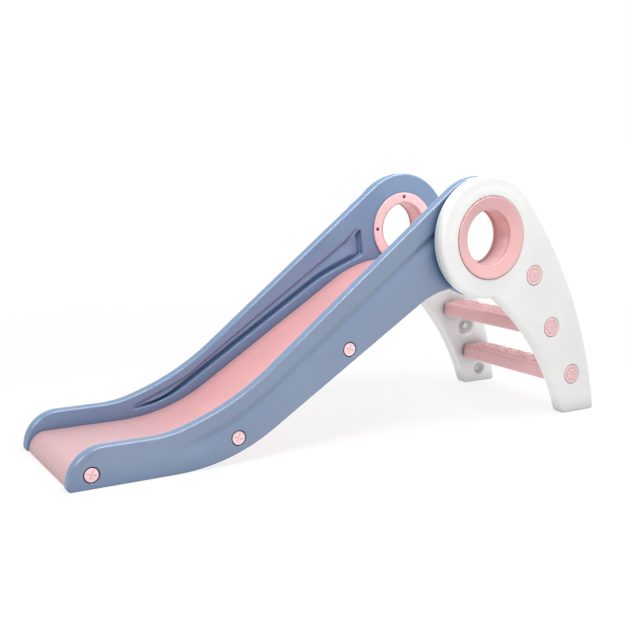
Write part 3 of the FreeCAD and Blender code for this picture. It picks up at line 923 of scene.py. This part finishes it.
def leg_panel(side):
    """The white leg: seat and bore for the hub ring, cap recesses, dents in the inner face."""
    shell = Shell()
    low, high = shell.loft(
        edge_rings(leg_loop(), LEG_IN, LEG_OUT, LEG_INNER_R, LEG_R, leg_relief))
    bore = shell.lathe(HUB, (
        (TUBE_R + 3.0, LEG_IN), (TUBE_R + 1.2, LEG_IN + 0.6), (TUBE_R + 0.5, LEG_IN + 2.0),
        (TUBE_R + 0.5, RING_SEAT), (RING_R + 0.5, RING_SEAT), (RING_R + 0.5, LEG_OUT - 2.0),
        (RING_R + 1.2, LEG_OUT - 0.6), (RING_R + 3.2, LEG_OUT),
    ), count=128)
    recesses = []
    for place in centres("leg_caps_right"):
        level = LEG_OUT - BOSS_RISE
        first, last = shell.lathe(place, (
            (LEG_RECESS_R + 3.6, level), (LEG_RECESS_R + 1.0, level - 0.3),
            (LEG_RECESS_R + 0.2, level - 1.4), (LEG_RECESS_R, LEG_RECESS_W)), 72)
        shell.fan(last, LEG_RECESS_W)
        recesses.append(first)
    shell.fill(high, [bore[1], *recesses], spacing=4.0, height=leg_relief, level=LEG_OUT)
    dents = []
    for place, radius, depth, nub in LEG_DENTS:
        bottom = LEG_IN + depth
        first, last = shell.lathe(place, (
            (radius + 4.0, LEG_IN), (radius + 1.5, LEG_IN + 0.5), (radius, LEG_IN + 2.5),
            (radius - 3.0, bottom - 2.5), (radius - 5.0, bottom - 0.5), (radius - 7.0, bottom),
            (9.0, bottom), (8.2, bottom - 0.8), (7.4, bottom - nub + 1.0), (6.0, bottom - nub)), 64)
        shell.fan(last, bottom - nub)
        dents.append(first)
    shell.fill(low, [bore[0], *dents], spacing=4.5, level=LEG_IN)
    piece = shell.piece(f"leg_shell_{side}", mirror=side == "left")
    return finish(piece, WHITE, "ladder", "leg_white", f"leg_panel_{side}")


# ---------------------------------------------------------------- steps

TREAD_RISE = 3.4
CURL_SCALE = 0.062
CURL_LAYER = 3.7
CURL_WARP = 0.9
CURL_WIDTH = 0.17
STEP_FRONT_R = 17.0
STEP_BACK_R = 12.0
STEP_RIB_PITCH = 45.0
STEP_RIB_DEPTH = 14.0


def tread_pattern(points, low, high):
    """Curly raised anti-slip ridges, fading out before the tread's edges."""
    ridge = np.empty(len(points))
    for i, (u, v) in enumerate(points):
        p = Vector((u * CURL_SCALE, v * CURL_SCALE, CURL_LAYER))
        warp = noise.noise_vector(p * 0.9) * CURL_WARP
        ridge[i] = 1.0 - min(1.0, abs(noise.noise(p * 1.6 + warp)) / CURL_WIDTH)
    edge = np.minimum(
        np.minimum(points[:, 0] - low[0], high[0] - points[:, 0]) - 8.0,
        np.minimum(points[:, 1] - low[1], high[1] - points[:, 1]) - 5.0,
    )
    return TREAD_RISE * smooth(ridge * 3.0) * smooth(edge / 5.0)


def step_piece(name):
    """A step board: rounded plan, curled tread on top, cross ribs below."""
    low, high = box_mm(name)
    x0, x1 = low[0], high[0]
    y1 = high[1]
    plan = anticlockwise(resample(rounded([
        (x0, -y1, STEP_FRONT_R), (x1, -y1, STEP_BACK_R), (x1, y1, STEP_BACK_R),
        (x0, y1, STEP_FRONT_R),
    ]), 3.0))
    top = high[2] - TREAD_RISE

    def relief(points):
        return tread_pattern(points, low, high)

    def ribs(points):
        edge = np.minimum(
            np.minimum(points[:, 0] - low[0], high[0] - points[:, 0]) - 12.0,
            np.minimum(points[:, 1] + y1, y1 - points[:, 1]) - 20.0,
        )
        wave = (points[:, 1] + y1) % STEP_RIB_PITCH / STEP_RIB_PITCH
        rib = smooth((wave - 0.1) / 0.14) * smooth((0.9 - wave) / 0.14)
        return STEP_RIB_DEPTH * smooth(edge / 7.0) * rib

    shell = Shell()
    rings = edge_rings(plan, low[2], top, 7.0, 8.5, middle=())
    bottom, upper = shell.loft(rings)
    shell.fill(upper, spacing=1.7, height=relief, level=top)
    shell.fill(bottom, spacing=3.6, height=ribs, level=low[2])
    piece = shell.piece(f"{name}_tread", across="Z")
    return finish(piece, PINK, "ladder", "moulded_pink", name)


COLLAR = 20.0
GROOVE_PITCH = 20.0
GROOVES_REACH = 120.0
GROOVE_DEPTH = 1.3


def tie_bar():
    """A round bar with a collar at each leg and shallow grip grooves."""
    low, high = box_mm("top_tie_bar")
    centre = ((low[0] + high[0]) / 2, (low[2] + high[2]) / 2)
    radius = (high[2] - low[2]) / 2
    half = high[1]
    grip = radius - 2.5
    profile = [(radius - 2.0, -half), (radius, -half + 2.0), (radius, -half + COLLAR - 4.0),
               (grip, -half + COLLAR)]
    for y in np.arange(-GROOVES_REACH, GROOVES_REACH + 1.0, GROOVE_PITCH):
        profile += [(grip, y - 4.0), (grip - GROOVE_DEPTH, y - 2.0), (grip - GROOVE_DEPTH, y + 2.0),
                    (grip, y + 4.0)]
    profile += [(grip, half - COLLAR), (radius, half - COLLAR + 4.0), (radius, half - 2.0),
                (radius - 2.0, half)]
    shell = Shell()
    first, last = shell.lathe(centre, profile, 72)
    shell.fan(first, -half)
    shell.fan(last, half)
    return finish(shell.piece("tie_bar_tube"), PINK, "ladder", "moulded_pink", "top_tie_bar")


# ---------------------------------------------------------------- hub and caps

RING_COUNT = 144
DISH_DEPTH = 7.5
DISH_CURVE = 1.12
SCREW_HOLE_R = 4.6


def outer_ring(side):
    """The dished flange and the tube that the leg turns on."""
    seat = RING_SEAT + 0.5
    top = RING_HIGH[1]
    low = RING_LOW[1]
    dish = [
        (RING_R, top - 1.6), (RING_R - 0.5, top - 0.6), (RING_R - 1.6, top), (RING_R - 3.6, top),
        (RING_R - 5.0, top - 0.5),
    ]
    for t in np.linspace(0.08, 1.0, 8):
        r = RING_R - 5.0 - t * (RING_R - 5.0 - BORE_R - 5.0)
        dish.append((r, top - 0.5 - DISH_DEPTH * t ** DISH_CURVE))
    lip = [(BORE_R + 2.2, top - 8.4), (BORE_R + 0.9, top - 9.2), (BORE_R + 0.2, top - 10.4),
           (BORE_R, top - 12.0), (BORE_R, top - 13.4), (BORE_R + 1.7, top - 13.9)]
    tube = [(BORE_R + 1.7, y) for y in np.linspace(top - 20.0, low + 7.0, 6)]
    end = [(BORE_R, low + 6.4), (BORE_R, low + 0.9), (BORE_R + 0.9, low), (TUBE_R - 0.6, low),
           (TUBE_R, low + 0.6)]
    shell = Shell()
    shell.lathe(HUB, [(TUBE_R, seat), (RING_R - 0.4, seat), (RING_R, seat + 0.6), *dish, *lip, *tube,
                      *end], RING_COUNT, closed=True)
    piece = shell.piece(f"hub_ring_{side}", mirror=side == "left")
    return finish(piece, RING_PINK, "slide", "ring_pink", f"hub_outer_ring_{side}")


def inner_ring(side):
    """The clamp ring on the panel's inner face, with a countersunk screw at each quarter."""
    def rings(*profile):
        return [(circle(HUB, r, RING_COUNT), w) for r, w in profile]

    low = RING_LOW[1]
    rim = INNER_RING_R
    bore = TUBE_R + 0.2
    shell = Shell()
    shell.loft(rings((bore, PANEL_IN), (rim, PANEL_IN)))
    _, face_out = shell.loft(rings(
        (rim, PANEL_IN), (rim, low + 1.6), (rim - 0.5, low + 0.5), (rim - 1.6, low), (rim - 3.0, low)))
    _, face_in = shell.loft(rings(
        (bore, PANEL_IN), (bore, low + 0.8), (bore + 0.8, low), (bore + 1.8, low)))
    holes = []
    for place in centres(f"hub_screws_{side}"):
        first, last = shell.lathe(place, (
            (SCREW_HOLE_R + 0.8, low), (SCREW_HOLE_R + 0.2, low + 0.3), (SCREW_HOLE_R, low + 1.0),
            (SCREW_HOLE_R, low + 2.6)), 32)
        shell.fan(last, low + 2.6)
        holes.append(first)
    shell.fill(face_out, [face_in, *holes], spacing=3.2, level=low)
    piece = shell.piece(f"clamp_ring_{side}", mirror=side == "left")
    merge(piece)
    return finish(piece, CLAMP_PINK, "slide", "ring_pink", f"hub_inner_ring_{side}")


def merge(piece):
    """Welds rings that were made twice."""
    made = bmesh.new()
    made.from_mesh(piece.data)
    bmesh.ops.remove_doubles(made, verts=made.verts, dist=1e-6)
    bmesh.ops.recalc_face_normals(made, faces=made.faces)
    made.to_mesh(piece.data)
    made.free()


CAP_COUNT = 96
CAP_TOP = 0.1
CAP_T = 4.6
CAP_CROWN = 0.5
CAP_EDGE = 2.2
CROSS_TURN = 0.35
CROSS_DEPTH = 1.5
FLOWER_DEPTH = 1.3
# Radius and number of rings in each kind of cap's face.
CAP_SIZES = {"panel": (14.9, 16), "leg": (23.7, 24)}


def cap_relief(kind, rr, angle):
    """The emblem sunk in a cap, a cross or a flower: rr is 0 at the middle and 1 at the rim."""
    if kind == "panel":
        turned_by = angle + CROSS_TURN
        gap = rr * np.minimum(np.abs(np.sin(turned_by)), np.abs(np.cos(turned_by)))
        return -CROSS_DEPTH * smooth((0.17 - gap) / 0.1) * smooth((0.78 - rr) / 0.1)
    petals = 0.5 + 0.5 * np.cos(6 * angle)
    ring = smooth((0.1 - np.abs(rr - 0.66 - 0.12 * petals)) / 0.07)
    spoke = smooth((0.11 - rr * np.abs(np.sin(3 * angle)) / 2) / 0.06) * smooth((0.5 - rr) / 0.08)
    return -FLOWER_DEPTH * np.maximum(ring, spoke)


def cap(kind, place, out):
    """One push-in cap with its face at height out."""
    radius, steps = CAP_SIZES[kind]
    angle = np.linspace(0, TAU, CAP_COUNT, endpoint=False)
    shell = Shell()
    rings = [(radius - 0.4, out - CAP_T), (radius, out - CAP_T + 0.6), (radius, out - 1.6),
             (radius - 0.4, out - 0.8), (radius - 1.2, out - 0.3), (radius - CAP_EDGE, out - CAP_TOP)]
    made = [shell.ring(circle(place, r, CAP_COUNT), w) for r, w in rings]
    for k in range(steps):
        rr = 1 - (k + 1) / (steps + 0.5)
        relief = cap_relief(kind, np.full(CAP_COUNT, rr), angle)
        w = out - CAP_TOP - CAP_CROWN + CAP_CROWN * (1 - rr) + relief
        made.append(shell.ring(circle(place, (radius - CAP_EDGE) * rr, CAP_COUNT), w))
    for a, b in zip(made, made[1:]):
        shell.strip(a, b)
    middle = float(cap_relief(kind, np.zeros(1), np.zeros(1))[0])
    shell.fan(made[-1], out - CAP_TOP + middle)
    shell.fan(made[0], out - CAP_T)
    return shell


def caps(kind, side):
    """The three caps on one side, joined in one piece like their CAD node."""
    source = f"{kind}_caps_{side}"
    whole = Shell()
    for place in centres(source):
        level = LEG_OUT
        if kind == "panel":
            level = PANEL_OUT + float(outer_relief(np.array([place]))[0])
        one = cap(kind, place, level)
        offset = len(whole.points)
        whole.points = np.vstack((whole.points, one.points))
        whole.faces.extend(tuple(i + offset for i in face) for face in one.faces)
    piece = whole.piece(f"{kind}_covers_{side}", mirror=side == "left")
    body = "slide" if kind == "panel" else "ladder"
    paint = CAP_PINK if kind == "leg" else PALE_CAP_PINK
    return finish(piece, paint, body, "cap_pink", source)


# ---------------------------------------------------------------- building

for side in ("left", "right"):
    side_panel(side)
    leg_panel(side)
    outer_ring(side)
    inner_ring(side)
    caps("panel", side)
    caps("leg", side)
bed()
step_piece("middle_step")
step_piece("lower_step")
tie_bar()

KEPT = {
    "pivot_washer_left": WASHER, "pivot_washer_right": WASHER,
    "hub_screws_left": BLACK_STEEL, "hub_screws_right": BLACK_STEEL,
    "bed_bolts": STEEL, "step_bolts": STEEL,
    "bed_inserts": BRASS, "step_inserts": BRASS,
}
for name, material in KEPT.items():
    mesh = frame["nodes"][name].data
    mesh.materials.clear()
    mesh.materials.append(material)


# ---------------------------------------------------------------- stage, light and camera

FLOOR_REACH = 40.0
FLOOR_GREY = (0.15, 0.15, 0.15, 1)
# The floor's own light, from near the object to far from it.
GLOW_SPAN = (0.8, 3.5)
GLOW = (0.81, 0.90)
# The surroundings are dimmer in one direction, so that the near face is not washed out.
DIM_TOWARDS = (-0.60, -0.45, 0.66)
DIM_SPAN = (0.0, 0.8)
DIM = (1.0, 0.35)
STRIP_HEIGHT = 2.2
STRIP_WIDTH = 0.20
STRIP_POWER = 22.0
BOX_SIZE = (1.6, 1.2)
BOX_POWER = 36.0
BOX_PLACE = (-2.4, -1.4, 2.1)
BOX_AIM = (0, 0, 0.3)
LENS = 56.28
CAMERA_PLACE = (-1.2052, -2.0125, 0.6605)
CAMERA_TILT = 80.586
CAMERA_HEADING = -30.39


def floor():
    """A pale seamless floor."""
    mesh = bpy.data.meshes.new("floor")
    reach = FLOOR_REACH
    mesh.from_pydata(
        [(-reach, -reach, 0), (reach, -reach, 0), (reach, reach, 0), (-reach, reach, 0)],
        [], [(0, 1, 2, 3)])
    made = bpy.data.objects.new("floor", mesh)
    bpy.context.scene.collection.objects.link(made)
    paint = bpy.data.materials.new("pale_floor")
    paint.use_nodes = True
    tree = paint.node_tree
    shader = tree.nodes["Principled BSDF"]
    shader.inputs["Base Color"].default_value = FLOOR_GREY
    shader.inputs["Roughness"].default_value = 0.9
    shader.inputs["Specular IOR Level"].default_value = 0.1
    shader.inputs["Emission Color"].default_value = (1, 1, 1, 1)
    away = node(tree, "ShaderNodeVectorMath", operation="LENGTH")
    tree.links.new(node(tree, "ShaderNodeTexCoord").outputs["Object"], away.inputs[0])
    glow = ramp(tree, away.outputs["Value"], GLOW_SPAN, GLOW, "SMOOTHSTEP")
    tree.links.new(glow, shader.inputs["Emission Strength"])
    mesh.materials.append(paint)


def area_light(name, size, power, place, turn):
    """A rectangular light; unturned, it shines down."""
    data = bpy.data.lights.new(name, "AREA")
    data.shape = "RECTANGLE"
    data.size, data.size_y = size
    data.energy = power
    made = bpy.data.objects.new(name, data)
    made.location = place
    made.rotation_euler = turn
    bpy.context.scene.collection.objects.link(made)


def strip_light(name, start, end):
    """A narrow soft light overhead, set so that the rims mirror it to the camera."""
    heading = math.atan2(end[1] - start[1], end[0] - start[0])
    middle = ((start[0] + end[0]) / 2, (start[1] + end[1]) / 2, STRIP_HEIGHT)
    area_light(name, (math.dist(start, end), STRIP_WIDTH), STRIP_POWER, middle, (0, 0, heading))


def surroundings():
    """White all round, dimmer in one direction."""
    world = bpy.data.worlds.new("studio")
    world.use_nodes = True
    tree = world.node_tree
    back = tree.nodes["Background"]
    back.inputs["Color"].default_value = (1, 1, 1, 1)
    towards = node(tree, "ShaderNodeVectorMath", operation="DOT_PRODUCT")
    tree.links.new(node(tree, "ShaderNodeTexCoord").outputs["Generated"], towards.inputs[0])
    towards.inputs[1].default_value = DIM_TOWARDS
    dim = ramp(tree, towards.outputs["Value"], DIM_SPAN, DIM, "SMOOTHSTEP")
    tree.links.new(dim, back.inputs["Strength"])
    bpy.context.scene.world = world


def studio():
    """The surroundings, two strip lights overhead and a soft box on the left."""
    surroundings()
    strip_light("near_strip", (-0.90, -1.20), (1.40, -0.35))
    strip_light("far_strip", (-0.90, -0.88), (1.40, -0.03))
    aim = Vector(BOX_AIM) - Vector(BOX_PLACE)
    area_light("left_box", BOX_SIZE, BOX_POWER, BOX_PLACE, aim.to_track_quat("-Z", "Y").to_euler())
    bpy.context.scene.view_settings.view_transform = "Standard"
    bpy.context.scene.view_settings.look = "None"


def camera():
    """The camera stands ahead of the toe, to the left, and looks slightly down."""
    data = bpy.data.cameras.new("camera")
    data.sensor_width = 36.0
    data.lens = LENS
    data.clip_end = 60.0
    made = bpy.data.objects.new("camera", data)
    made.location = CAMERA_PLACE
    made.rotation_euler = (math.radians(CAMERA_TILT), 0, math.radians(CAMERA_HEADING))
    bpy.context.scene.collection.objects.link(made)
    bpy.context.scene.camera = made


floor()
studio()
camera()
